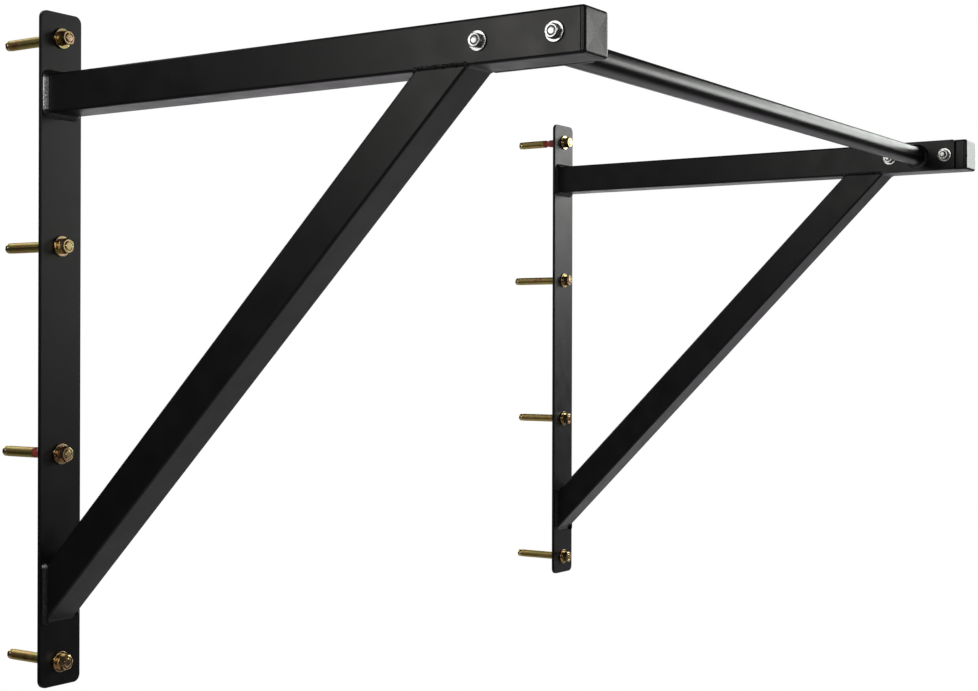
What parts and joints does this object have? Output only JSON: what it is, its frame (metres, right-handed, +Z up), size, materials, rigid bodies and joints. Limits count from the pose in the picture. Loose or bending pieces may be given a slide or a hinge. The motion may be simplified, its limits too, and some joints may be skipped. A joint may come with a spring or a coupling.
{
  "type": "wall mounted pull up bar",
  "caption": "Straight round pull-up bar held out from a wall by two triangular square-tube steel brackets, with bolted bar flanges and sleeve anchors through the wall plates.",
  "frame": {"origin": "on the wall plane, midway between the two brackets, level with the lower ends of the wall plates", "axes": "+X runs along the pull bar, +Y points into the wall, so the brackets reach out along -Y, and +Z is up"},
  "size_m": [1.2, 0.8105, 0.78],
  "materials": {
    "frame_coat": "satin black powder coat over steel",
    "bar_coat": "smooth semi-gloss black coat over steel",
    "end_cap": "fine-grained black plastic",
    "bolt_zinc": "bright zinc plating",
    "anchor_zinc": "yellow chromate zinc plating",
    "anchor_collar": "dark red plastic, on the two collars that the visual model adds"
  },
  "bodies": {
    "root": {"left_wall_plate": "frame_coat", "left_arm": "frame_coat", "left_brace": "frame_coat", "left_arm_end_cap": "end_cap", "left_bar_flange": "frame_coat", "left_rear_bolt": "bolt_zinc", "left_rear_head_washer": "bolt_zinc", "left_rear_nut_washer": "bolt_zinc", "left_rear_nut": "bolt_zinc", "left_front_bolt": "bolt_zinc", "left_front_head_washer": "bolt_zinc", "left_front_nut_washer": "bolt_zinc", "left_front_nut": "bolt_zinc", "left_anchor_1_stud": "anchor_zinc", "left_anchor_1_sleeve": "anchor_zinc", "left_anchor_1_washer": "anchor_zinc", "left_anchor_1_nut": "anchor_zinc", "left_anchor_2_stud": "anchor_zinc", "left_anchor_2_sleeve": "anchor_zinc", "left_anchor_2_washer": "anchor_zinc", "left_anchor_2_nut": "anchor_zinc", "left_anchor_3_stud": "anchor_zinc", "left_anchor_3_sleeve": "anchor_zinc", "left_anchor_3_washer": "anchor_zinc", "left_anchor_3_nut": "anchor_zinc", "left_anchor_4_stud": "anchor_zinc", "left_anchor_4_sleeve": "anchor_zinc", "left_anchor_4_washer": "anchor_zinc", "left_anchor_4_nut": "anchor_zinc", "right_wall_plate": "frame_coat", "right_arm": "frame_coat", "right_brace": "frame_coat", "right_arm_end_cap": "end_cap", "right_bar_flange": "frame_coat", "right_rear_bolt": "bolt_zinc", "right_rear_head_washer": "bolt_zinc", "right_rear_nut_washer": "bolt_zinc", "right_rear_nut": "bolt_zinc", "right_front_bolt": "bolt_zinc", "right_front_head_washer": "bolt_zinc", "right_front_nut_washer": "bolt_zinc", "right_front_nut": "bolt_zinc", "right_anchor_1_stud": "anchor_zinc", "right_anchor_1_sleeve": "anchor_zinc", "right_anchor_1_washer": "anchor_zinc", "right_anchor_1_nut": "anchor_zinc", "right_anchor_2_stud": "anchor_zinc", "right_anchor_2_sleeve": "anchor_zinc", "right_anchor_2_washer": "anchor_zinc", "right_anchor_2_nut": "anchor_zinc", "right_anchor_3_stud": "anchor_zinc", "right_anchor_3_sleeve": "anchor_zinc", "right_anchor_3_washer": "anchor_zinc", "right_anchor_3_nut": "anchor_zinc", "right_anchor_4_stud": "anchor_zinc", "right_anchor_4_sleeve": "anchor_zinc", "right_anchor_4_washer": "anchor_zinc", "right_anchor_4_nut": "anchor_zinc", "pull_bar": "bar_coat"}
  },
  "joints": []
}
